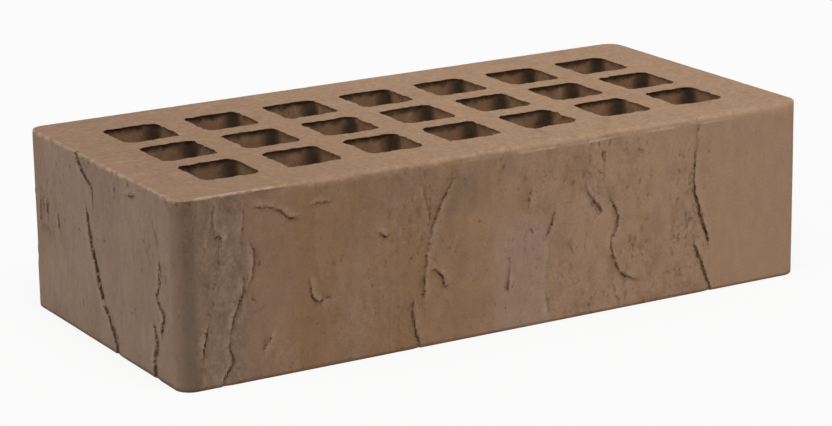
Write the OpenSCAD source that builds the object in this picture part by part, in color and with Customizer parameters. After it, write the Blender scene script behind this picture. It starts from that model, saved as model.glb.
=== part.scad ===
// Perforated facing brick of fired clay.
// The clay is pressed through a die as a column with the perforations along it, then cut across
// by a wire, so the upright corners are round and the two bed faces are wire cut.
// Millimetres. +Z is up, the face side is at -Y, and the origin is the middle of the lower bed face.

/* [Format] */
// Length of the brick, along X
brick_length = 250; // [200:1:300]
// Width of the brick, along Y
brick_width = 120; // [112:1:150]
// Height between the two bed faces
brick_height = 65; // [40:1:140]

/* [Perforations] */
// Number of holes along the length
hole_columns = 7; // [2:1:9]
// Number of holes across the width
hole_rows = 3; // [2:1:3]
// Size of one hole along the length
hole_length = 21; // [8:0.5:25]
// Size of one hole across the width
hole_width = 22; // [8:0.5:25]
// Radius in the upright corners of each hole
hole_corner_r = 3; // [0.5:0.25:3.75]
// Clay left between an end face and the nearest holes
end_wall = 20; // [12:0.5:30]
// Clay left between a long face and the nearest holes
side_wall = 19; // [12:0.5:24]

/* [Arrises] */
// Radius of the four upright corners, shaped by the die
corner_r = 6; // [2:0.5:11]
// Radius of the upper edge of the face side, dragged over by the cutting wire
face_arris_r = 3; // [0.5:0.25:6]
// Radius of the other edges round the bed faces
bed_arris_r = 1; // [0.25:0.25:3]

/* [Hidden] */
$fn = 48;
clay_brown = [0.56, 0.46, 0.37];
// How far a cutter runs past the face that it leaves
overrun = 1;
// Spacing of the holes: the clay between the walls is shared out evenly as webs
column_pitch = (brick_length - 2 * end_wall - hole_length) / (hole_columns - 1);
row_pitch = (brick_width - 2 * side_wall - hole_width) / (hole_rows - 1);
// Middle of the first hole, at the left end of the face side
first_column = end_wall + hole_length / 2 - brick_length / 2;
first_row = side_wall + hole_width / 2 - brick_width / 2;
// The four corners of a rectangle as signs, anticlockwise
CORNERS = [[-1, -1], [1, -1], [1, 1], [-1, 1]];

// What a corner at the origin loses to a radius r, where the rectangle lies on the +x +y side
module corner_waste(r) {
    difference() {
        translate([-overrun, -overrun]) square(r + overrun);
        translate([r, r]) circle(r);
    }
}

// Rectangle about the origin, with a radius for each of its corners, in the order of CORNERS
module rounded_rectangle(size, radii) {
    difference() {
        square(size, center = true);
        for (i = [0:3])
            translate([CORNERS[i].x * size.x / 2, CORNERS[i].y * size.y / 2])
                rotate(90 * i) corner_waste(radii[i]);
    }
}

// The clay column as the die shapes it, seen from above
module plan() {
    rounded_rectangle([brick_length, brick_width], [for (corner = CORNERS) corner_r]);
}

// Section across the brick: its x is the brick's Y, and its y is the height
module cross_section() {
    translate([0, brick_height / 2])
        rounded_rectangle([brick_width, brick_height], [bed_arris_r, bed_arris_r, bed_arris_r, face_arris_r]);
}

// Section along the brick: its x is the brick's X, and its y is the height
module long_section() {
    translate([0, brick_height / 2])
        rounded_rectangle([brick_length, brick_height], [for (corner = CORNERS) bed_arris_r]);
}

// The column cut to height, with its edges but without holes
module blank() {
    intersection() {
        linear_extrude(brick_height) plan();
        rotate([90, 0, 90])
            linear_extrude(brick_length + 2 * overrun, center = true) cross_section();
        rotate([90, 0, 0])
            linear_extrude(brick_width + 2 * overrun, center = true) long_section();
    }
}

// One core of the die, which runs out of both bed faces
module perforation() {
    translate([0, 0, -overrun])
        linear_extrude(brick_height + 2 * overrun)
            rounded_rectangle([hole_length, hole_width], [for (corner = CORNERS) hole_corner_r]);
}

// The fired brick, one piece of clay
module brick() {
    color(clay_brown)
        difference() {
            blank();
            for (column = [0:hole_columns - 1], row = [0:hole_rows - 1])
                translate([first_column + column * column_pitch, first_row + row * row_pitch, 0])
                    perforation();
        }
}

brick();
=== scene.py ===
import math

import bpy
from mathutils import Matrix, Vector


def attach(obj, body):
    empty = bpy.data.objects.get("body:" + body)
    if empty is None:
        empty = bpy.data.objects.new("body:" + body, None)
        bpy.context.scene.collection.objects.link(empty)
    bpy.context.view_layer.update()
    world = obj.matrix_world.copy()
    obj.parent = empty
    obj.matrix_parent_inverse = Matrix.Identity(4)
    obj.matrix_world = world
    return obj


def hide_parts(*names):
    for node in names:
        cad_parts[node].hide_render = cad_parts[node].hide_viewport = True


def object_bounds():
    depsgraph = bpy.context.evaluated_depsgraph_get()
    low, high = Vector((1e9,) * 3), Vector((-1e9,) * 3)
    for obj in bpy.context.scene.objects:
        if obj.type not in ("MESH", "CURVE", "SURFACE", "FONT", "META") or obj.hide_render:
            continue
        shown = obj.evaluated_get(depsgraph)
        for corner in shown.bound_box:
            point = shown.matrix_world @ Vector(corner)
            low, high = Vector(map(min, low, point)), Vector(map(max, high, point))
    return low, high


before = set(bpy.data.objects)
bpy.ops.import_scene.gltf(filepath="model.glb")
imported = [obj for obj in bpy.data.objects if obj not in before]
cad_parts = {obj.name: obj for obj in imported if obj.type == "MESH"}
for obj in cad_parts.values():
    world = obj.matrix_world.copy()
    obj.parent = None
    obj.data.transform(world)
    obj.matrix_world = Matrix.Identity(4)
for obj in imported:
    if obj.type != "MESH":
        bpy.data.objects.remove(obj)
cad_low, cad_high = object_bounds()


# The brick
# A perforated facing brick, one piece of fired clay. Stiff clay is pressed as a column through a die whose
# cores leave the holes, cut off by a wire, torn like bark on the face side and the ends, and fired.
class Field:
    """A socket of a node tree. Arithmetic on it adds the nodes that work the result out."""

    def __init__(self, tree, socket=None):
        self.tree = tree
        self.socket = socket

    def node(self, kind, settings=None, inputs=None, output=0):
        """Adds a node: its settings are set first, then the values or links of its inputs."""
        made = self.tree.nodes.new(kind)
        for name, value in (settings or {}).items():
            setattr(made, name, value)
        for key, value in (inputs or {}).items():
            if isinstance(value, Field):
                self.tree.links.new(value.socket, made.inputs[key])
            else:
                made.inputs[key].default_value = value
        return Field(self.tree, made.outputs[output])

    def other_output(self, name):
        return Field(self.tree, self.socket.node.outputs[name])

    def math(self, operation, *others):
        inputs = dict(enumerate((self, *others)))
        return self.node("ShaderNodeMath", {"operation": operation}, inputs)

    def vector(self, operation, other):
        output = "Value" if operation == "DOT_PRODUCT" else "Vector"
        return self.node("ShaderNodeVectorMath", {"operation": operation}, {0: self, 1: other}, output)

    def scaled(self, factor):
        return self.node("ShaderNodeVectorMath", {"operation": "SCALE"}, {0: self, "Scale": factor}, "Vector")

    def axes(self):
        split = self.node("ShaderNodeSeparateXYZ", inputs={0: self})
        return split, split.other_output("Y"), split.other_output("Z")

    def joined_axes(self, y, z):
        return self.node("ShaderNodeCombineXYZ", inputs={0: self, 1: y, 2: z})

    def rise(self, start, end):
        """0 below start, 1 above end, and a smooth rise between them. It falls where end is the lower."""
        settings = {"interpolation_type": "SMOOTHSTEP"}
        return self.node("ShaderNodeMapRange", settings, {0: self, 1: start, 2: end, 3: 0.0, 4: 1.0})

    def between(self, start, full, fading, gone):
        """1 from full to fading, 0 before start and after gone, and smooth on the way."""
        return self.rise(start, full) * self.rise(gone, fading)

    def ranged(self, low, high):
        """Low where this is 0, and high where it is 1."""
        return self * (high - low) + low

    def mixed(self, colour, mask, most=1.0, blend="MIX"):
        """This colour with another over it, whose share is at its most where the mask is 1."""
        settings = {"data_type": "RGBA", "blend_type": blend}
        return self.node("ShaderNodeMix", settings, {0: mask * most, 6: self, 7: colour}, 2)

    def shaded(self, value):
        """This colour made darker or lighter by a value."""
        return self.mixed(value.joined_axes(value, value), 1.0, blend="MULTIPLY")

    def __add__(self, other):
        return self.math("ADD", other)

    def __sub__(self, other):
        return self.math("SUBTRACT", other)

    def __rsub__(self, other):
        return self.node("ShaderNodeMath", {"operation": "SUBTRACT"}, {0: other, 1: self})

    def __mul__(self, other):
        return self.math("MULTIPLY", other)

    def __truediv__(self, other):
        return self.math("DIVIDE", other)

    def __rtruediv__(self, other):
        return self.node("ShaderNodeMath", {"operation": "DIVIDE"}, {0: other, 1: self})

    def __neg__(self):
        return self * -1.0

    __radd__ = __add__
    __rmul__ = __mul__


# Sizes are in millimetres. The columns and the rows of holes are numbered from the middle one.
MM = 0.001
length, width, height = (cad_high - cad_low) / MM
hole_length, hole_width = 21.0, 22.0
column_pitch, row_pitch = 31.5, 30.0
last_column, last_row = 3.0, 1.0
column_sizes = {
    "Length": length,
    "Width": width,
    "Height": height,
    "Cell": 0.5,
    "Merge distance": 0.01,
    "Hole length": hole_length,
    "Hole width": hole_width,
    "Column pitch": column_pitch,
    "Row pitch": row_pitch,
    "Last column": last_column,
    "Last row": last_row,
    "Corner radius": 6.0,
    "Hole corner radius": 3.0,
    "Hole corner fade": 2.3,
    "Face arris": 3.0,
    "Arris starts": -99.0,
    "Arris is full": -80.0,
    "Right end sag": 1.5,
    "Sag starts": 30.0,
    "Sag is full": 5.0,
    "Bed arris": 0.8,
}
wall_rows = 120
hole_wall_rows = 10
hole_row_growth = 1.5
clay = bpy.data.materials.new("fired_clay")
brick = bpy.data.objects.new("clay_brick", bpy.data.meshes.new("clay_column"))
bpy.context.scene.collection.objects.link(brick)


def started(name, sizes):
    """A new tree with a named input for each size, and the fields of those inputs."""
    tree = bpy.data.node_groups.new(name, "GeometryNodeTree")
    tree.interface.new_socket("Geometry", in_out="OUTPUT", socket_type="NodeSocketGeometry")
    tree.interface.new_socket("Geometry", in_out="INPUT", socket_type="NodeSocketGeometry")
    for size_name, value in sizes.items():
        kind = "NodeSocketFloat" if isinstance(value, float) else "NodeSocketObject"
        tree.interface.new_socket(size_name, in_out="INPUT", socket_type=kind)
    start = tree.nodes.new("NodeGroupInput")
    return tree, {socket.name: Field(tree, socket) for socket in start.outputs if socket.name}


def closed_off(tree, geometry):
    """The end of a tree: plain geometry of fired clay."""
    geometry = geometry.node("GeometryNodeRealizeInstances", inputs={"Geometry": geometry})
    geometry = geometry.node("GeometryNodeSetMaterial", inputs={"Geometry": geometry, "Material": clay})
    end = tree.nodes.new("NodeGroupOutput")
    tree.links.new(geometry.socket, end.inputs["Geometry"])


def worked(tree, sizes):
    """Adds a tree to the brick's modifiers, with the values of its inputs."""
    modifier = brick.modifiers.new(tree.name, "NODES")
    modifier.node_group = tree
    for item in tree.interface.items_tree:
        if item.in_out == "INPUT" and item.name in sizes:
            modifier[item.identifier] = sizes[item.name]


column_tree, size = started("clay_column", column_sizes)
grow = Field(column_tree)


def rounded_off(u, v):
    """The share of u and v that a round corner takes, where both are counted from the arc's centre."""
    above_zero = 1e-9
    reach = (u * u + v * v).math("SQRT").math("MAXIMUM", above_zero)
    return 1 - u.math("MAXIMUM", v) / reach


def nearest_hole(along, pitch, last):
    """The middle of the hole nearest to a place on one axis."""
    number = (along / pitch).math("ROUND").math("MINIMUM", last).math("MAXIMUM", -last)
    return number * pitch


def beyond(distance, start):
    return (distance - start).math("MAXIMUM", 0.0)


def drawn_out(loops, rows, direction, first_step, growth):
    """Walls drawn from edge loops in rows whose height grows by one factor."""
    start = column_tree.nodes.new("GeometryNodeRepeatInput")
    end = column_tree.nodes.new("GeometryNodeRepeatOutput")
    start.pair_with_output(end)
    end.repeat_items.new("BOOLEAN", "Rim")
    end.repeat_items.new("FLOAT", "Step")
    start.inputs["Iterations"].default_value = rows
    start.inputs["Rim"].default_value = True
    column_tree.links.new(loops.socket, start.inputs["Geometry"])
    column_tree.links.new(first_step.socket, start.inputs["Step"])
    step = Field(column_tree, start.outputs["Step"])
    drawn = grow.node(
        "GeometryNodeExtrudeMesh",
        {"mode": "EDGES"},
        {
            "Mesh": Field(column_tree, start.outputs["Geometry"]),
            "Selection": Field(column_tree, start.outputs["Rim"]),
            "Offset": grow.node("ShaderNodeCombineXYZ", inputs={2: direction}),
            "Offset Scale": step,
        },
        "Mesh",
    )
    column_tree.links.new(drawn.socket, end.inputs["Geometry"])
    column_tree.links.new(drawn.other_output("Top").socket, end.inputs["Rim"])
    column_tree.links.new((step * growth).socket, end.inputs["Step"])
    return Field(column_tree, end.outputs["Geometry"])


# The column: two beds with openings, and walls drawn from the edges of the beds
plate = grow.node(
    "GeometryNodeMeshGrid",
    inputs={
        "Size X": size["Length"],
        "Size Y": size["Width"],
        "Vertices X": (size["Length"] / size["Cell"]).math("ROUND") + 1,
        "Vertices Y": (size["Width"] / size["Cell"]).math("ROUND") + 1,
    },
)
x, y, z = grow.node("GeometryNodeInputPosition").axes()
hole_x = nearest_hole(x, size["Column pitch"], size["Last column"])
hole_y = nearest_hole(y, size["Row pitch"], size["Last row"])
from_hole_x = (x - hole_x).math("ABSOLUTE")
from_hole_y = (y - hole_y).math("ABSOLUTE")
in_hole = from_hole_x.math("LESS_THAN", size["Hole length"] / 2) * from_hole_y.math(
    "LESS_THAN", size["Hole width"] / 2
)
plate = grow.node(
    "GeometryNodeDeleteGeometry", {"domain": "FACE"}, {"Geometry": plate, "Selection": in_hole}
)
faces_beside = grow.node("GeometryNodeInputMeshEdgeNeighbors")
open_edge = faces_beside.math("COMPARE", 1.0, 0.1)
loops = grow.node(
    "GeometryNodeSeparateGeometry", {"domain": "EDGE"}, {"Geometry": plate, "Selection": open_edge}
)
at_hole = (from_hole_x - size["Hole length"] / 2).math("MAXIMUM", from_hole_y - size["Hole width"] / 2)
hole_loops = grow.node(
    "GeometryNodeSeparateGeometry",
    {"domain": "EDGE"},
    {"Geometry": loops, "Selection": at_hole.math("LESS_THAN", size["Cell"])},
)
rim_loop = hole_loops.other_output("Inverted")

lift = grow.node("ShaderNodeCombineXYZ", inputs={2: size["Height"]})
upper_plate = grow.node("GeometryNodeTransform", inputs={"Geometry": plate, "Translation": lift})
lower_plate = grow.node("GeometryNodeFlipFaces", inputs={"Mesh": plate})
upper_loops = grow.node("GeometryNodeTransform", inputs={"Geometry": hole_loops, "Translation": lift})
outer_wall = drawn_out(
    rim_loop, wall_rows, direction=1.0, first_step=size["Height"] / wall_rows, growth=1.0
)
first_row_share = (hole_row_growth - 1) / (hole_row_growth**hole_wall_rows - 1)
hole_walls = drawn_out(
    upper_loops,
    hole_wall_rows,
    direction=-1.0,
    first_step=size["Height"] * first_row_share,
    growth=hole_row_growth,
)

facing = grow.node("GeometryNodeInputNormal")
outward = x.joined_axes(y, 0.0)
to_hole = (hole_x - x).joined_axes(hole_y - y, 0.0)
outer_wall = grow.node(
    "GeometryNodeFlipFaces",
    inputs={"Mesh": outer_wall, "Selection": facing.vector("DOT_PRODUCT", outward).math("LESS_THAN", 0.0)},
)
hole_walls = grow.node(
    "GeometryNodeFlipFaces",
    inputs={"Mesh": hole_walls, "Selection": facing.vector("DOT_PRODUCT", to_hole).math("LESS_THAN", 0.0)},
)
column = grow.node("GeometryNodeJoinGeometry")
for part in (hole_walls, outer_wall, lower_plate, upper_plate):
    column_tree.links.new(part.socket, column.socket.node.inputs[0])
column = grow.node(
    "GeometryNodeMergeByDistance", inputs={"Geometry": column, "Distance": size["Merge distance"]}
)

# Edges: the wire drags the upper edge of the face side over further than the other edges, but not at
# its left end, and furthest at its right end
half_x, half_y, half_z = size["Length"] / 2, size["Width"] / 2, size["Height"] / 2
up = z - half_z
face_edge = y.math("LESS_THAN", 0.0) * up.math("GREATER_THAN", 0.0)
dragged = x.rise(size["Arris starts"], size["Arris is full"])
sagged = x.rise(half_x - size["Sag starts"], half_x - size["Sag is full"]) * size["Right end sag"]
arris = size["Bed arris"] + face_edge * (dragged * (size["Face arris"] - size["Bed arris"]) + sagged)
past_y = beyond(y.math("ABSOLUTE"), half_y - arris)
past_z = beyond(up.math("ABSOLUTE"), half_z - arris)
taken = rounded_off(past_y, past_z)
y_arris = y - y.math("SIGN") * past_y * taken
up_arris = up - up.math("SIGN") * past_z * taken
past_x = beyond(x.math("ABSOLUTE"), half_x - size["Bed arris"])
past_z = beyond(up_arris.math("ABSOLUTE"), half_z - size["Bed arris"])
taken = rounded_off(past_x, past_z)
x_arris = x - x.math("SIGN") * past_x * taken
up_arris = up_arris - up_arris.math("SIGN") * past_z * taken

# Upright corners of the brick, then those of each hole, which fade into the bed around it
past_x = beyond(x_arris.math("ABSOLUTE"), half_x - size["Corner radius"])
past_y = beyond(y_arris.math("ABSOLUTE"), half_y - size["Corner radius"])
taken = rounded_off(past_x, past_y)
x_round = x_arris - x.math("SIGN") * past_x * taken
y_round = y_arris - y.math("SIGN") * past_y * taken
past_x = beyond(from_hole_x, size["Hole length"] / 2 - size["Hole corner radius"])
past_y = beyond(from_hole_y, size["Hole width"] / 2 - size["Hole corner radius"])
fade_end = size["Hole corner radius"] * size["Hole corner fade"]
fades = past_x.math("MAXIMUM", past_y).rise(fade_end, size["Hole corner radius"])
taken = rounded_off(past_x, past_y) * fades
x_round = x_round - (x - hole_x).math("SIGN") * past_x * taken
y_round = y_round - (y - hole_y).math("SIGN") * past_y * taken
place = x_round.joined_axes(y_round, up_arris + half_z)
column = grow.node("GeometryNodeSetPosition", inputs={"Geometry": column, "Position": place})
closed_off(column_tree, column)
worked(column_tree, column_sizes)

# Torn faces: each tear is a flake that stands a little proud on one side, with a gap beside it that lies in
# shade. A tear gives the flake's side, then places on the face in millimetres with the tear's strength.
LEFT, RIGHT, UP, DOWN = (-1, 0), (1, 0), (0, 1), (0, -1)
face_side_tears = [
    (LEFT, (-98.5, 49, 0.3), (-97, 42, 1.0), (-98, 36, 0.7), (-100, 33, 0.3)),
    (LEFT, (-101.5, 36, 0.4), (-102, 30, 1.0), (-105, 23, 0.8),
     (-107, 14, 0.9), (-106.5, 7, 1.2), (-110, 2, 0.9)),
    (RIGHT, (-111, 61, 0.4), (-111, 51, 0.5), (-109, 50, 0.6),
     (-110, 42, 0.35), (-112, 32, 0.3), (-112, 25, 0.2)),
    (LEFT, (-100, 63, 0.3), (-101, 52, 0.5), (-101.5, 46, 0.3)),
    (LEFT, (-114, 21, 0.6), (-116, 16, 0.9), (-117, 12, 0.8)),
    (UP, (-95, 59, 0.6), (-88.5, 57, 0.6), (-83, 53.5, 0.9), (-80, 53, 0.3)),
    (UP, (-77, 56, 0.3), (-70, 57, 0.6)),
    (RIGHT, (-76.5, 30, 0.5), (-75, 24, 0.9), (-69, 23.5, 0.4)),
    (RIGHT, (-94.5, 10, 0.6), (-92, 13.5, 0.5)),
    (UP, (-49.5, 43.5, 0.5), (-48, 41.5, 0.8), (-46, 42.5, 0.3)),
    (RIGHT, (-46.5, 31, 0.1), (-46.5, 18, 0.2), (-47, 3, 0.25)),
    (RIGHT, (-43.5, 28, 0.1), (-43, 12, 0.25), (-42.5, 2, 0.2)),
    (RIGHT, (-18.5, 59, 0.3), (-24, 52, 0.6), (-27.5, 47, 0.7),
     (-30, 39, 0.5), (-32, 29, 0.7), (-33.5, 16, 0.6)),
    (LEFT, (-33, 55, 0.3), (-31, 48, 0.6), (-31, 43, 0.4)),
    (RIGHT, (-37.5, 15.5, 0.8), (-37, 9, 1.0), (-35, 1.5, 0.8)),
    (UP, (-29, 26.5, 0.6), (-26, 24, 1.0), (-25, 20.5, 0.8)),
    (RIGHT, (9.5, 48, 0.4), (9, 44.5, 0.6)),
    (RIGHT, (19.5, 39, 0.5), (18, 34.5, 0.9), (16, 31.5, 0.5)),
    (RIGHT, (1.5, 26, 0.3), (0, 15, 0.6)),
    (LEFT, (17.5, 28, 0.2), (15.5, 16, 0.4), (16.5, 5, 0.5)),
    (RIGHT, (40.5, 54, 0.3), (40, 49, 0.5)),
    (RIGHT, (32.5, 46, 0.5), (35.5, 41.5, 0.8), (39, 37, 0.6), (36, 34.5, 0.4)),
    (RIGHT, (42.5, 42, 0.4), (46, 34.5, 0.9), (45, 28.5, 0.7), (43, 23.5, 0.6),
     (45, 17, 0.8), (49, 12, 0.9), (55, 9.5, 0.3)),
    (RIGHT, (44, 9, 0.3), (46, 3, 0.5)),
    (RIGHT, (80, 63, 0.3), (79.5, 55, 0.5), (78.5, 45, 0.8),
     (79, 37, 1.0), (81.5, 29, 1.2), (85, 19, 0.9)),
    (RIGHT, (78.5, 18, 0.6), (81.5, 13, 1.0), (83.5, 7, 1.0), (86, 1, 0.8)),
    (RIGHT, (77, 28.5, 0.5), (75.5, 26, 0.5)),
    (UP, (-118, 64, 0.1), (-105, 63.5, 0.2), (-93, 64, 0.25), (-84, 64.5, 0.3)),
]
left_end_tears = [
    (RIGHT, (19, 64.5, 1.2), (16.5, 61, 1.2), (12, 58, 0.9), (7.5, 54.5, 0.8), (6, 48, 0.5)),
    (RIGHT, (11, 46, 0.7), (9.5, 37, 1.2), (5, 26, 1.5), (0.5, 15.5, 1.4),
     (-4, 11.5, 0.9), (-8, 4, 1.2), (-9, 0, 1.1)),
    (RIGHT, (-45, 40, 0.7), (-43.5, 31.5, 1.1), (-42, 28.5, 0.8), (-46.5, 22.5, 1.1), (-44, 17.5, 1.4)),
    (RIGHT, (-39, 17.5, 0.9), (-40.5, 12, 1.2), (-38, 4.5, 1.5), (-39.5, 0, 1.2)),
    (UP, (-26.5, 60, 0.9), (-24, 59, 1.1)),
    (RIGHT, (-13, 60.5, 0.5), (-12, 58.5, 0.7)),
    (RIGHT, (51, 41, 0.5), (51.5, 34, 0.7)),
    (RIGHT, (45, 41, 0.6), (45.5, 36, 0.7)),
    (RIGHT, (36, 37, 0.6), (35.5, 34, 0.6)),
]
right_end_tears = [
    (LEFT, (-28, 64, 0.5), (-26, 50, 0.9), (-29, 36, 0.8), (-25, 22, 0.4)),
    (RIGHT, (13, 40, 0.4), (15, 27, 1.0), (11, 12, 0.9), (12, 1, 0.7)),
    (LEFT, (41, 58, 0.4), (39, 47, 0.7), (42, 39, 0.3)),
]
upper_bed_tears = [
    (LEFT, (23, -41, 0.5), (22, -53, 0.3)),
    (LEFT, (-27, -40, 0.4), (-26, -47, 0.2)),
    (DOWN, (-91, -44, 0.3), (-87, -46, 0.3)),
    (LEFT, (115, -37, 0.6), (115.5, -39, 0.5)),
]
torn_faces = (
    (lambda across, up: (across, -width / 2, up), face_side_tears),
    (lambda across, up: (-length / 2, across, up), left_end_tears),
    (lambda across, up: (length / 2, across, up), right_end_tears),
    (lambda across, up: (across, up, height), upper_bed_tears),
)
tear_places = []
tear_edges = []
tear_strengths = []
tear_flakes = []
for on_face, tears in torn_faces:
    origin = Vector(on_face(0, 0))
    for flake, *line in tears:
        first = len(tear_places)
        tear_edges += [(first + i, first + i + 1) for i in range(len(line) - 1)]
        tear_places += [on_face(across, up) for across, up, strength in line]
        tear_strengths += [strength for across, up, strength in line]
        tear_flakes += [*(Vector(on_face(*flake)) - origin)] * len(line)
tear_mesh = bpy.data.meshes.new("tear_lines")
tear_mesh.from_pydata(tear_places, tear_edges, [])
tear_mesh.attributes.new("strength", "FLOAT", "POINT").data.foreach_set("value", tear_strengths)
tear_mesh.attributes.new("flake", "FLOAT_VECTOR", "POINT").data.foreach_set("vector", tear_flakes)
tear_lines = bpy.data.objects.new("tear_lines", tear_mesh)
bpy.context.scene.collection.objects.link(tear_lines)

torn_sizes = {
    "Tear lines": tear_lines,
    "Line step": 0.4,
    "Half length": length / 2,
    "Half width": width / 2,
    "Height": height,
    "Inset": 0.3,
    "Lip height": 0.3,
    "Lip reach": 4.0,
    "Gap depth": 0.9,
    "Gap width": 0.6,
    "Hollow depth": 0.25,
    "Wander": 3.2,
    "Side crack wander": 9.0,
    "Flake step": 0.3,
    "Flake steps": 9.0,
    "Bark depth": 0.2,
    "Scale depth": 0.35,
    "Pit depth": 0.35,
    "Edge crumbs": 0.5,
    "Back edge crumbs": 1.2,
    "Rim wobble": 1.8,
    "Rim crumbs": 1.6,
    "Rim wear": 0.35,
    "Rim burr": 0.5,
    "Seed": 3.0,
}
torn_tree, size = started("torn_face", torn_sizes)
torn = Field(torn_tree)
body = size["Geometry"]
lines = torn.node("GeometryNodeObjectInfo", inputs={"Object": size["Tear lines"]}, output="Geometry")
lines = torn.node("GeometryNodeMeshToCurve", inputs={"Mesh": lines})
lines = torn.node("GeometryNodeCurveSplineType", {"spline_type": "CATMULL_ROM"}, {"Curve": lines})
even_steps = {"Curve": lines, "Length": size["Line step"]}
lines = torn.node("GeometryNodeResampleCurve", {"mode": "LENGTH"}, even_steps)
lines = torn.node("GeometryNodeCurveToMesh", inputs={"Curve": lines})

place = torn.node("GeometryNodeInputPosition")
facing = torn.node("GeometryNodeInputNormal")
x, y, z = place.axes()
_, facing_y, facing_z = facing.axes()
flake_stretch = (1.0, 1.0, 0.28)
flake_scale = 0.06
flake_detail = 3.0
flake_roughness = 0.55


def unevenness(where, scale, detail, roughness=flake_roughness):
    """Noise of about -0.5 to 0.5."""
    inputs = {"Vector": where, "W": size["Seed"], "Scale": scale, "Detail": detail, "Roughness": roughness}
    return torn.node("ShaderNodeTexNoise", {"noise_dimensions": "4D"}, inputs) - 0.5


def straying(where, scale, detail, roughness):
    """Noise of about -0.5 to 0.5 on each axis."""
    inputs = {"Vector": where, "W": size["Seed"], "Scale": scale, "Detail": detail, "Roughness": roughness}
    noise = torn.node("ShaderNodeTexNoise", {"noise_dimensions": "4D"}, inputs, "Color")
    return noise.vector("SUBTRACT", (0.5, 0.5, 0.5))


# Which kind of face a place is on
outside = (x.math("ABSOLUTE") - size["Half length"]).math("MAXIMUM", y.math("ABSOLUTE") - size["Half width"])
outer = outside.rise(-9.0, -8.0)
upright = facing_z.math("ABSOLUTE").rise(0.9, 0.4)
in_hole = upright * (1 - outer)
back = facing_y.rise(0.5, 0.9)
rough = upright * outer * (1 - back)


def torn_at(wander, scale, share):
    """The gap, the flake's lip and the hollow beside the gap, along lines that stray by some distance. Then
    how far to the flake's side of the nearest line a place is, and the strength of the tear near it."""
    weakest, usual, strongest = 0.1, 1.05, 1.5
    finer, contrast = 1.6, 2.4
    farthest = 9.0
    moved = place.vector("ADD", straying(place, scale, detail=5.0, roughness=0.65).scaled(wander))
    where = {"Geometry": lines, "Sample Position": moved}
    nearest = torn.node("GeometryNodeProximity", {"target_element": "EDGES"}, where)
    number = torn.node("GeometryNodeSampleNearest", inputs=where)

    def at_nearest(name, kind):
        """What the nearest point of a tear keeps under a name."""
        kept = torn.node("GeometryNodeInputNamedAttribute", {"data_type": kind}, {"Name": name})
        return torn.node(
            "GeometryNodeSampleIndex", {"data_type": kind}, {"Geometry": lines, 1: kept, "Index": number}
        )

    apart = moved.vector("SUBTRACT", nearest)
    flake_side = apart.vector("DOT_PRODUCT", at_nearest("flake", "FLOAT_VECTOR")).math("SIGN")
    side = flake_side * nearest.other_output("Distance")
    strength = unevenness(place, scale * finer, detail=2.0) * contrast + usual
    strength = strength.math("MAXIMUM", weakest).math("MINIMUM", strongest)
    strength = strength * at_nearest("strength", "FLOAT") * (1 - in_hole) * share
    side_widths = side / (size["Gap width"] * strength.ranged(0.4, 1.0))
    gap = side_widths.rise(0.15, -0.15) * side_widths.rise(-1.2, -0.4) * strength
    lip = side.rise(-0.1, 0.15) * side.rise(size["Lip reach"], 0.0) * strength
    hollow = side.rise(0.1, -0.3) * side.rise(-size["Lip reach"], -1.0) * strength
    nearby = side.math("ABSOLUTE").rise(4.5, 2.5)
    side = side.math("MINIMUM", farthest).math("MAXIMUM", -farthest)
    return gap, lip, hollow, side, strength * nearby


main_tears = torn_at(size["Wander"], scale=0.25, share=1.0)
side_cracks = torn_at(size["Side crack wander"], scale=0.18, share=0.35)
gap, lip, hollow = (main.math("MAXIMUM", crack) for main, crack in zip(main_tears[:3], side_cracks[:3]))

# Bark: flakes in steps that run up the face, an uneven skin, clusters of pits, and scales beside some tears.
# The right end of the face side is calm.
calm_share = 0.85
fewer_scales = 0.7
calm = x.rise(84.0, 90.0) * y.rise(-46.0, -52.0) * calm_share
stretched = place.vector("MULTIPLY", flake_stretch)
levels = unevenness(stretched, flake_scale, flake_detail, flake_roughness) * size["Flake steps"]
step = levels.math("FLOOR") + levels.math("FRACT").rise(0.93, 1.0)
skin = unevenness(stretched, scale=0.2, detail=4.0)
ticks = unevenness(place.vector("MULTIPLY", (1.0, 1.0, 0.8)), scale=0.6, detail=2.0).rise(0.1, 0.18)
pitted = unevenness(place, scale=0.09, detail=1.0).rise(-0.06, 0.1) * ticks * rough * (1 - calm)
scales = unevenness(place.vector("MULTIPLY", (1.0, 1.0, 0.4)), scale=0.3, detail=4.0, roughness=0.65)
scales = scales.rise(-0.02, 0.1)
by_corner = x.between(-121.0, -117.0, -104.0, -99.0)
by_long_tear = x.between(-47.0, -42.0, -33.0, -28.0) * z.rise(28.0, 40.0)
by_bent_tear = x.between(20.0, 28.0, 56.0, 64.0) * unevenness(place, scale=0.08, detail=2.0).rise(-0.06, 0.08)
by_right_tear = x.between(66.0, 71.0, 79.0, 82.0) * z.rise(12.0, 20.0)
scaly = by_corner + (by_long_tear + by_bent_tear + by_right_tear) * fewer_scales
scaly = scaly * facing_y.rise(-0.5, -0.9)
bark = step * size["Flake step"] + skin * size["Bark depth"] - scales * scaly * size["Scale depth"]
depth = (size["Inset"] - bark) * rough * (1 - calm) + pitted * size["Pit depth"]
depth = depth - lip * size["Lip height"] + gap * size["Gap depth"] + hollow * size["Hollow depth"]

# Edges of the faces: crumbs have broken off them, more at the back
on_edge = facing_z.between(0.2, 0.5, 0.85, 0.98) * outer
more_at_back = facing_y.rise(0.2, 0.6) * (size["Back edge crumbs"] - size["Edge crumbs"])
crumbled = unevenness(place, scale=0.3, detail=3.0).rise(0.02, 0.3) * (more_at_back + size["Edge crumbs"])
depth = depth + on_edge * crumbled
body = torn.node(
    "GeometryNodeSetPosition",
    inputs={"Geometry": body, "Offset": facing.scaled(-depth.math("MAXIMUM", 0.0))},
)

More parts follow.
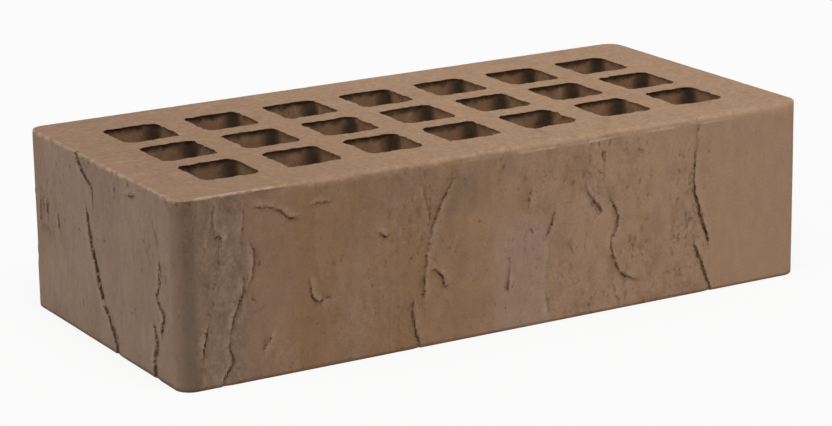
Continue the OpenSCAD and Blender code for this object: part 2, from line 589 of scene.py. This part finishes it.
# Rims of the holes: the wire leaves them ragged and a little worn, with a burr
hole_x = nearest_hole(x, column_pitch, last_column)
hole_y = nearest_hole(y, row_pitch, last_row)
from_rim = ((x - hole_x).math("ABSOLUTE") - hole_length / 2).math(
    "MAXIMUM", (y - hole_y).math("ABSOLUTE") - hole_width / 2
)
by_rim = from_rim.rise(2.5, 0.2) * z.rise(size["Height"] - 12, size["Height"] - 0.5)
wobble = straying(place, scale=0.3, detail=3.0, roughness=0.6).scaled(size["Rim wobble"])
crumbs = straying(place, scale=0.9, detail=2.0, roughness=0.6).scaled(size["Rim crumbs"])
wobble = wobble.vector("ADD", crumbs).vector("MULTIPLY", (1, 1, 0)).scaled(by_rim)
wear = unevenness(place, scale=0.25, detail=3.0).rise(-0.15, 0.3) * size["Rim wear"]
worn = from_rim.rise(1.0, 0.0) * z.rise(size["Height"] - 4, size["Height"] - 0.2) * wear
under = from_rim.rise(0.6, 0.2) * z.rise(size["Height"] - 0.2, size["Height"] - 0.7) * in_hole
sunk = wobble.vector("ADD", worn.node("ShaderNodeCombineXYZ", inputs={2: -worn}))
sunk = sunk.vector("ADD", facing.scaled(-(under * size["Rim burr"])))
body = torn.node("GeometryNodeSetPosition", inputs={"Geometry": body, "Offset": sunk})
on_body = {
    "tear_side": main_tears[3],
    "tear_strength": main_tears[4],
    "crack_side": side_cracks[3],
    "crack_strength": side_cracks[4],
    "pits": pitted,
}
for name, value in on_body.items():
    body = torn.node(
        "GeometryNodeStoreNamedAttribute",
        {"data_type": "FLOAT", "domain": "POINT"},
        {"Geometry": body, "Name": name, "Value": value},
    )
body = torn.node("GeometryNodeTransform", inputs={"Geometry": body, "Scale": (MM, MM, MM)})
closed_off(torn_tree, body)
worked(torn_tree, torn_sizes)

# The finished shape: thinned where it is flat, and kept inside the box of the CAD model
kept_share = 0.25
sharp_angle = 40
thinner = brick.modifiers.new("thinned_flats", "DECIMATE")
thinner.ratio = kept_share
evaluated = brick.evaluated_get(bpy.context.evaluated_depsgraph_get())
shaped = bpy.data.meshes.new_from_object(evaluated)
brick.modifiers.clear()
brick.data = shaped
shaped.name = "clay_brick"
places_in_box = [
    min(max(part, low), high)
    for vertex in shaped.vertices
    for part, low, high in zip(vertex.co, cad_low, cad_high)
]
shaped.vertices.foreach_set("co", places_in_box)
shaped.shade_smooth()
shaped.set_sharp_from_angle(angle=math.radians(sharp_angle))
bpy.data.objects.remove(tear_lines)

# Fired colours: the clay fires to a warm brown that changes with the kiln's air. It is grey at the left end
# of the face side, reddish beside that, brown and mauve in streaks further on, and ochre on the beds.
clay.use_nodes = True
shader = clay.node_tree.nodes["Principled BSDF"]
paint = Field(clay.node_tree)
place = paint.node("ShaderNodeTexCoord", output="Object").scaled(1 / MM)
x, y, z = place.axes()
from_left_end = x + length / 2
from_face_side = y + width / 2
from_back = width / 2 - y
from_top = height - z


def mottle(scale, start, end, stretch=(1, 1, 1), detail=3.0):
    """A share of 0 to 1 that comes and goes over the clay."""
    inputs = {
        "Vector": place.vector("MULTIPLY", stretch),
        "Scale": scale,
        "Detail": detail,
        "Roughness": 0.6,
    }
    return paint.node("ShaderNodeTexNoise", inputs=inputs).rise(start, end)


def blended(first, second, share):
    """Two plain colours, with a share of the second."""
    return paint.node("ShaderNodeMix", {"data_type": "RGBA"}, {0: share, 6: first, 7: second}, 2)


def kept(name):
    """What the torn shape keeps under a name."""
    return paint.node("ShaderNodeAttribute", {"attribute_name": name}, output="Fac")


brown = (0.262, 0.147, 0.075, 1)
grey = (0.205, 0.136, 0.088, 1)
reddish = (0.265, 0.153, 0.100, 1)
mauve = (0.338, 0.216, 0.151, 1)
# Paler brown of the clay, and painted light towards the right end of the face side
pale_brown_and_light = (0.372, 0.224, 0.134, 1)
ochre = (0.360, 0.226, 0.138, 1)
rosy = (0.370, 0.222, 0.148, 1)
pale_bed = (0.470, 0.300, 0.186, 1)
end_brown = (0.308, 0.207, 0.148, 1)
# Dark dots of the clay, and painted shade in the tears' gaps, in the pits and under a lip
dark_dot_and_shade = (0.075, 0.040, 0.020, 1)
# Brown spots of the clay, and painted shade in the hollows beside the tears and where crumbs are gone
brown_spot_and_shade = (0.150, 0.083, 0.040, 1)
# A pale edge of a patch, and a painted highlight on the tears' lips and on proud crumbs
pale_and_highlight = (0.40, 0.265, 0.185, 1)
warm_brown = (0.250, 0.136, 0.062, 1)
dull_mauve = (0.255, 0.155, 0.104, 1)
# Pale chips of the clay, and a painted highlight along the upper edges
pale_chip_and_highlight = (0.560, 0.400, 0.280, 1)
# Painted light: the hole walls, paler than the clay
painted_lit_wall = (0.420, 0.235, 0.118, 1)
# Painted shade inside the holes
painted_hole_shade = (0.045, 0.028, 0.018, 1)
# Painted shade for the near upright corner
painted_corner_shade = (0.77, 0.77, 0.77, 1)
# Painted shadow for the foot of the brick
painted_foot_shadow = (0.55, 0.52, 0.50, 1)

# The face side: streaks, a tint for each layer of flakes, spots and dots
# Paler towards the right end: partly the clay's own colour, partly painted light
face_colour = blended(brown, pale_brown_and_light, x.rise(-60.0, 50.0))
streaks = mottle(scale=0.045, start=0.46, end=0.62, stretch=(1, 1, 0.3))
face_colour = face_colour.mixed(mauve, streaks, most=0.35)
flake_noise = paint.node(
    "ShaderNodeTexNoise",
    {"noise_dimensions": "4D"},
    {
        "Vector": place.vector("MULTIPLY", flake_stretch),
        "W": torn_sizes["Seed"],
        "Scale": flake_scale,
        "Detail": flake_detail,
        "Roughness": flake_roughness,
    },
)
layer = ((flake_noise - 0.5) * torn_sizes["Flake steps"]).math("FLOOR")
layer_tint = paint.node("ShaderNodeTexWhiteNoise", {"noise_dimensions": "1D"}, {"W": layer}, "Value")
face_colour = face_colour.mixed(mauve, layer_tint.rise(0.3, 0.9), most=0.4)
mottled = 1 - x.rise(78.0, 90.0) * calm_share
warm_spots = mottle(scale=0.11, start=0.5, end=0.68, stretch=(1, 1, 0.6), detail=4.0)
face_colour = face_colour.mixed(warm_brown, warm_spots * mottled, most=0.5)
dull_spots = mottle(scale=0.075, start=0.5, end=0.66, stretch=(1, 0.9, 0.8), detail=4.0)
face_colour = face_colour.mixed(dull_mauve, dull_spots * mottled, most=0.5)
dots = mottle(scale=0.7, start=0.6, end=0.72, stretch=(1, 1, 0.7))
dots = dots * mottle(scale=0.06, start=0.45, end=0.6, detail=2.0)
face_colour = face_colour.mixed(dark_dot_and_shade, dots * mottled, most=0.45)

# Patches of the face side, whose borders stray
border_stray = 4.0
fewer_flecks = 0.7
strayed = x + (mottle(scale=0.12, start=0.2, end=0.8, stretch=(1, 1, 0.4)) - 0.5) * border_stray
torn_top = strayed.between(-64.0, -52.0, -34.0, -22.0) * z.rise(40.0, 50.0)
torn_top = torn_top * mottle(scale=0.2, start=0.3, end=0.6, stretch=(1, 1, 0.7), detail=4.0)
face_colour = face_colour.mixed(dull_mauve, torn_top, most=0.8)
greyed = strayed.between(-27.0, -22.0, -14.0, -8.0) * z.between(42.0, 47.0, 55.0, 60.0)
face_colour = face_colour.mixed(grey, greyed, most=0.45)
low_down = z.rise(26.0, 16.0)
reddish_end = strayed.rise(-74.0, -90.0) * (1 - low_down) + strayed.rise(-91.0, -92.5) * low_down
face_colour = face_colour.mixed(reddish, reddish_end, most=0.85)
patch = strayed.rise(-7.0, -2.0) * x.rise(17.0, 15.8) * z.rise(43.0, 33.0)
face_colour = face_colour.mixed(mauve, patch, most=0.9)
crumbled = strayed.between(70.0, 73.0, 77.0, 80.0) * z.between(20.0, 24.0, 30.0, 36.0)
crumbled = crumbled + strayed.between(29.0, 33.0, 40.0, 44.0) * z.between(33.0, 37.0, 46.0, 52.0)
face_colour = face_colour.mixed(mauve, crumbled * mottle(scale=0.4, start=0.35, end=0.6), most=0.7)
patch_edge = x.between(14.6, 15.4, 16.2, 17.2) * z.rise(40.0, 26.0)
face_colour = face_colour.mixed(pale_and_highlight, patch_edge, most=0.45)
grey_end = strayed.rise(-98.5, -102.5)
face_colour = face_colour.mixed(grey, grey_end, most=0.85)
scale_tint = mottle(scale=0.3, start=0.35, end=0.65, stretch=(1, 1, 0.4), detail=4.0) * x.rise(-122.0, -116.0)
face_colour = face_colour.mixed(mauve, scale_tint * grey_end, most=0.3)

# Flecks beside the tears: a painted highlight where a crumb stands proud, and painted shade where one is gone
flecked = strayed.between(20.0, 28.0, 56.0, 64.0) + strayed.between(66.0, 71.0, 79.0, 82.0)
flecked = flecked * mottle(scale=0.06, start=0.4, end=0.55, stretch=(1, 1, 0.7))
flecked = flecked + strayed.between(-119.0, -115.0, -104.0, -99.0) * fewer_flecks
flecked = flecked + strayed.between(-52.0, -45.0, -29.0, -22.0) * z.rise(24.0, 42.0) * fewer_flecks
highlight_flecks = mottle(scale=0.4, start=0.52, end=0.66, stretch=(1.1, 1, 0.7), detail=4.0)
face_colour = face_colour.mixed(pale_and_highlight, flecked * highlight_flecks, most=0.4)
shade_flecks = mottle(scale=0.4, start=0.55, end=0.66, stretch=(1, 1, 0.6), detail=4.0)
face_colour = face_colour.mixed(brown_spot_and_shade, flecked * shade_flecks, most=0.65)

# The ends and the back, with brown spots on the left end
most_dull = 0.5
dull_patches = mottle(scale=0.05, start=0.4, end=0.7, stretch=(1, 1, 0.6))
end_colour = blended(end_brown, dull_mauve, dull_patches * most_dull)
spotted = y.between(35.0, 41.0, 49.0, 54.0) * z.between(27.0, 33.0, 42.0, 48.0)
spotted = spotted + y.between(-47.0, -44.0, -36.0, -33.0) * z.between(38.0, 43.0, 53.0, 57.0)
spotted = spotted * mottle(scale=0.3, start=0.5, end=0.62, stretch=(1, 1, 0.5))
end_colour = end_colour.mixed(brown_spot_and_shade, spotted * from_left_end.rise(3.0, 1.0), most=0.6)
colour = end_colour.mixed(face_colour, from_face_side.rise(8.0, 2.0))

# The beds, whose colour reaches down over the arris of the face side, except at its left end
sharp_reach, dragged_reach = 0.6, 2.2
bed_reach = x.rise(-96.0, -80.0).ranged(sharp_reach, dragged_reach)
bed_is_full = bed_reach * 0.25 + 0.15
bed = from_top.rise(bed_reach, bed_is_full) + z.rise(0.4, 0.1)
bed_colour = blended(ochre, rosy, mottle(scale=0.03, start=0.42, end=0.6, detail=4.0))
bed_colour = bed_colour.mixed(pale_bed, x.rise(-115.0, 40.0), most=0.75)
bed_colour = bed_colour.mixed(pale_bed, mottle(scale=0.13, start=0.55, end=0.7), most=0.5)
rosy_blotches = mottle(scale=0.1, start=0.52, end=0.68, stretch=(1, 0.7, 1))
bed_colour = bed_colour.mixed(rosy, rosy_blotches, most=0.45)
bed_grain = mottle(scale=0.6, start=0.3, end=0.7, stretch=(0.8, 1, 1))
bed_colour = bed_colour.shaded(bed_grain.ranged(0.89, 1.11))
colour = colour.mixed(bed_colour, bed)

# The walls of the holes: painted light makes them paler than the clay, with painted shade in the far corners
# and a painted shadow under the far rim
hole_x = nearest_hole(x, column_pitch, last_column)
hole_y = nearest_hole(y, row_pitch, last_row)
to_wall_x = hole_length / 2 - (x - hole_x).math("ABSOLUTE")
to_wall_y = hole_width / 2 - (y - hole_y).math("ABSOLUTE")
in_hole = to_wall_x.rise(-1.8, -1.0) * to_wall_y.rise(-1.8, -1.0)
deep = from_top.rise(0.1, 0.5) * in_hole
far_side = (y - hole_y).rise(-9.0, 3.0)
far_wall = (y - hole_y).rise(7.5, 10.5)
shaded_corner = to_wall_x.math("MAXIMUM", to_wall_y).rise(6.5, 1.0) * far_side.ranged(0.3, 1.0)
shadow_unevenness = 1.5
shadow_depth = from_top - mottle(scale=0.3, start=0.2, end=0.8) * shadow_unevenness
rim_shadow = shadow_depth.rise(2.6, 0.2) * far_wall.ranged(0.3, 1.0)
# Painted light: the walls of the holes are painted paler than the clay, for the light that reaches into them
colour = colour.mixed(painted_lit_wall, deep, most=0.9)
# Painted shade in the holes, more towards the left end
colour = colour.mixed(painted_hole_shade, deep * x.rise(-20.0, -110.0), most=0.25)
# Painted shade in the far corners and a painted shadow under the far rim
colour = colour.mixed(painted_hole_shade, deep * shaded_corner.math("MAXIMUM", rim_shadow), most=0.85)

# The tears: a painted highlight on the lip, painted shade in the hollow beside it and in the gap, then
# painted shade in the pits
flecks = mottle(scale=0.35, start=0.3, end=0.6)
ragged = mottle(scale=1.2, start=0.2, end=0.8).ranged(-0.25, 0.25)
for kind in ("tear", "crack"):
    strength = kept(kind + "_strength")
    side = kept(kind + "_side") + ragged
    opening = strength.ranged(0.15, 0.65)
    lip = side.rise(0.0, 0.3) * side.rise(3.5, 0.4) * strength.rise(0.1, 0.7) * flecks
    beside = side.rise(0.6, -0.2) * side.rise(-2.2, -0.3) * strength.rise(0.1, 1.0)
    gap = side.rise(0.25, -0.1) * (side + opening).rise(-0.3, 0.2) * strength.rise(0.05, 0.35)
    shade = strength.rise(0.4, 1.2).ranged(0.28, 0.95)
    # Painted highlight on the lip, then painted shade beside the gap and in it
    colour = colour.mixed(pale_and_highlight, lip, most=0.5)
    colour = colour.mixed(brown_spot_and_shade, beside, most=0.5)
    colour = colour.mixed(dark_dot_and_shade, gap * shade)
# Painted shade in the pits
colour = colour.mixed(dark_dot_and_shade, kept("pits").rise(0.2, 1.0), most=0.5)

# The upper edges: a painted highlight along the arris, with pale chips in it, a sharp crest of painted
# highlight, and a painted shadow under a lip at the left end
by_face_side = from_face_side.rise(3.0, 2.0)
on_arris = from_top.between(0.0, 0.8, 1.8, 3.2) * by_face_side * x.rise(-92.0, -80.0)
colour = colour.mixed(pale_chip_and_highlight, on_arris * mottle(scale=0.2, start=0.4, end=0.65), most=0.15)
# Painted highlight in a thin line along the arris
arris_line = from_top.between(1.9, 2.3, 2.7, 3.0) * by_face_side * x.between(-30.0, 30.0, 80.0, 100.0)
colour = colour.mixed(pale_chip_and_highlight, arris_line * mottle(scale=0.12, start=0.4, end=0.55), most=0.5)
# Painted highlight on the sharp crest at the left end
crest = from_top.rise(1.1, 0.6) * from_face_side.rise(1.6, 0.8) * x.between(-122.0, -116.0, -84.0, -78.0)
colour = colour.mixed(pale_chip_and_highlight, crest * mottle(scale=0.25, start=0.3, end=0.6), most=0.9)
by_left_end = from_left_end.rise(1.5, 0.7)
end_crest = from_top.rise(1.5, 0.7) * by_left_end
colour = colour.mixed(pale_chip_and_highlight, end_crest * mottle(scale=0.25, start=0.42, end=0.56), most=0.5)
end_specks = from_top.between(0.8, 1.4, 2.5, 4.5) * by_left_end * y.rise(30.0, 15.0)
colour = colour.mixed(brown_spot_and_shade, end_specks * mottle(scale=0.35, start=0.55, end=0.64), most=0.6)
shadow_under_lip = from_top.between(1.0, 1.5, 1.8, 2.6) * from_face_side.rise(0.8, 0.4)
# Painted shadow under the lip
colour = colour.mixed(dark_dot_and_shade, shadow_under_lip * x.between(-98.0, -92.0, -79.0, -77.0), most=0.6)

# The near corner is darker with painted shade and the foot with a painted shadow, and a fine grain covers all
# of it
near_corner = from_left_end.between(0.9, 3.2, 5.0, 8.5) * from_face_side.rise(10.0, 7.0)
# Painted shade in a band on the near upright corner
colour = colour.mixed(painted_corner_shade, near_corner * (1 - bed), blend="MULTIPLY")
# Painted shadow along the foot, where the brick meets the floor
colour = colour.mixed(painted_foot_shadow, z.rise(1.6, 0.4) * (1 - in_hole), blend="MULTIPLY")
grain = mottle(scale=1.1, start=0.3, end=0.7)
cloudiness = mottle(scale=0.25, start=0.3, end=0.7, stretch=(1, 1, 0.5))
colour = colour.shaded(grain.ranged(0.95, 1.05) * cloudiness.ranged(0.95, 1.05))
dullness = mottle(scale=0.5, start=0.3, end=0.7, detail=2.0).ranged(0.80, 0.92)

# Fine relief in millimetres: grain, the wire's drag on the beds, the die's drag on the sides, and torn skin
grain_height, wire_drag, die_drag = 0.14, 0.04, 0.03
torn_height, grey_end_height = 0.45, 0.25
wire_marks = mottle(scale=1.0, start=0.2, end=0.8, stretch=(1.4, 0.08, 1), detail=2.0)
die_marks = mottle(scale=0.9, start=0.2, end=0.8, stretch=(1, 1, 0.06))
relief = grain * grain_height + wire_marks * bed * wire_drag + die_marks * (1 - bed) * die_drag
torn_zones = mottle(scale=0.045, start=0.42, end=0.6, stretch=(1, 1, 0.6)) * (1 - bed)
torn_zones = torn_zones * from_back.rise(2.0, 10.0) * (1 - x.rise(80.0, 90.0) * calm_share)
torn_skin = mottle(scale=0.45, start=0.35, end=0.65, stretch=(1, 1, 0.55), detail=4.0)
relief = relief + torn_skin * (torn_zones * torn_height + grey_end * grey_end_height)
bump = paint.node("ShaderNodeBump", inputs={"Strength": 0.6, "Distance": MM, "Height": relief})
clay.node_tree.links.new(colour.socket, shader.inputs["Base Color"])
clay.node_tree.links.new(dullness.socket, shader.inputs["Roughness"])
clay.node_tree.links.new(bump.socket, shader.inputs["Normal"])
shader.inputs["Specular IOR Level"].default_value = 0.25

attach(brick, "root")
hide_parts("brick")

# The floor
# A wide, plain white sweep of card that the brick lies on. It runs past the picture on every side. To the
# camera it glows in part, so that it looks white without more light on the brick, and it keeps the shadow.
floor_half = 6.0
glow_share = 0.85
floor_mesh = bpy.data.meshes.new("floor")
floor_corners = [(-1, -1), (1, -1), (1, 1), (-1, 1)]
floor_mesh.from_pydata([(a * floor_half, b * floor_half, 0) for a, b in floor_corners], [], [(0, 1, 2, 3)])
floor = bpy.data.objects.new("floor", floor_mesh)
bpy.context.scene.collection.objects.link(floor)
card = bpy.data.materials.new("white_card")
card.use_nodes = True
sheet = Field(card.node_tree, card.node_tree.nodes["Principled BSDF"].outputs[0])
sheet.socket.node.inputs["Base Color"].default_value = (0.92, 0.92, 0.92, 1)
sheet.socket.node.inputs["Roughness"].default_value = 0.9
seen = sheet.node("ShaderNodeLightPath", output="Is Camera Ray")
for ray in ("Is Glossy Ray", "Is Transmission Ray"):
    seen = seen.math("MAXIMUM", sheet.node("ShaderNodeLightPath", output=ray))
glow = sheet.node("ShaderNodeEmission", inputs={"Color": (1, 1, 1, 1), "Strength": 1.0})
sheet = sheet.node("ShaderNodeMixShader", inputs={0: seen * glow_share, 1: sheet, 2: glow})
card.node_tree.links.new(sheet.socket, card.node_tree.nodes["Material Output"].inputs["Surface"])
floor_mesh.materials.append(card)

# The light
# One softbox hangs over the brick and a little in front of it. Weaker ones stand at its left end and to the
# right of its face side, and a white room fills the shade.
room_strength = 0.25
world = bpy.data.worlds.new("studio")
bpy.context.scene.world = world
world.use_nodes = True
world.node_tree.nodes["Background"].inputs["Color"].default_value = (1, 1, 1, 1)
world.node_tree.nodes["Background"].inputs["Strength"].default_value = room_strength


def softbox(name, direction, strength, degrees):
    lamp = bpy.data.lights.new(name, "SUN")
    lamp.energy = strength
    lamp.angle = math.radians(degrees)
    hung = bpy.data.objects.new(name, lamp)
    bpy.context.scene.collection.objects.link(hung)
    hung.rotation_mode = "QUATERNION"
    hung.rotation_quaternion = Vector(direction).to_track_quat("Z", "Y")


softbox("overhead_softbox", direction=(-0.12, -0.4, 1.0), strength=1.85, degrees=50)
softbox("left_softbox", direction=(-1.0, 0.3, 0.4), strength=0.42, degrees=30)
softbox("right_softbox", direction=(0.75, -0.7, 0.35), strength=0.1, degrees=30)

# The camera
# It stands in front of the near corner, a little above the brick, with a long lens.
image_width = 832
focal_pixels = 2897
camera_place = Vector((-506.4, -867.2, 308.3)) * MM
camera_azimuth = math.radians(30.22)
camera_drop = math.radians(15.58)
camera_roll = math.radians(0.92)
lens = bpy.data.cameras.new("camera")
lens.sensor_width = 36.0
lens.lens = lens.sensor_width * focal_pixels / image_width
camera = bpy.data.objects.new("camera", lens)
bpy.context.scene.collection.objects.link(camera)
forward = Vector(
    (
        math.sin(camera_azimuth) * math.cos(camera_drop),
        math.cos(camera_azimuth) * math.cos(camera_drop),
        -math.sin(camera_drop),
    )
)
right = Vector((math.cos(camera_azimuth), -math.sin(camera_azimuth), 0))
down = forward.cross(right)
right, down = (
    right * math.cos(camera_roll) + down * math.sin(camera_roll),
    down * math.cos(camera_roll) - right * math.sin(camera_roll),
)
turn = Matrix((right, -down, -forward)).transposed().to_4x4()
camera.matrix_world = Matrix.Translation(camera_place) @ turn
bpy.context.scene.camera = camera
bpy.context.scene.view_settings.view_transform = "Standard"
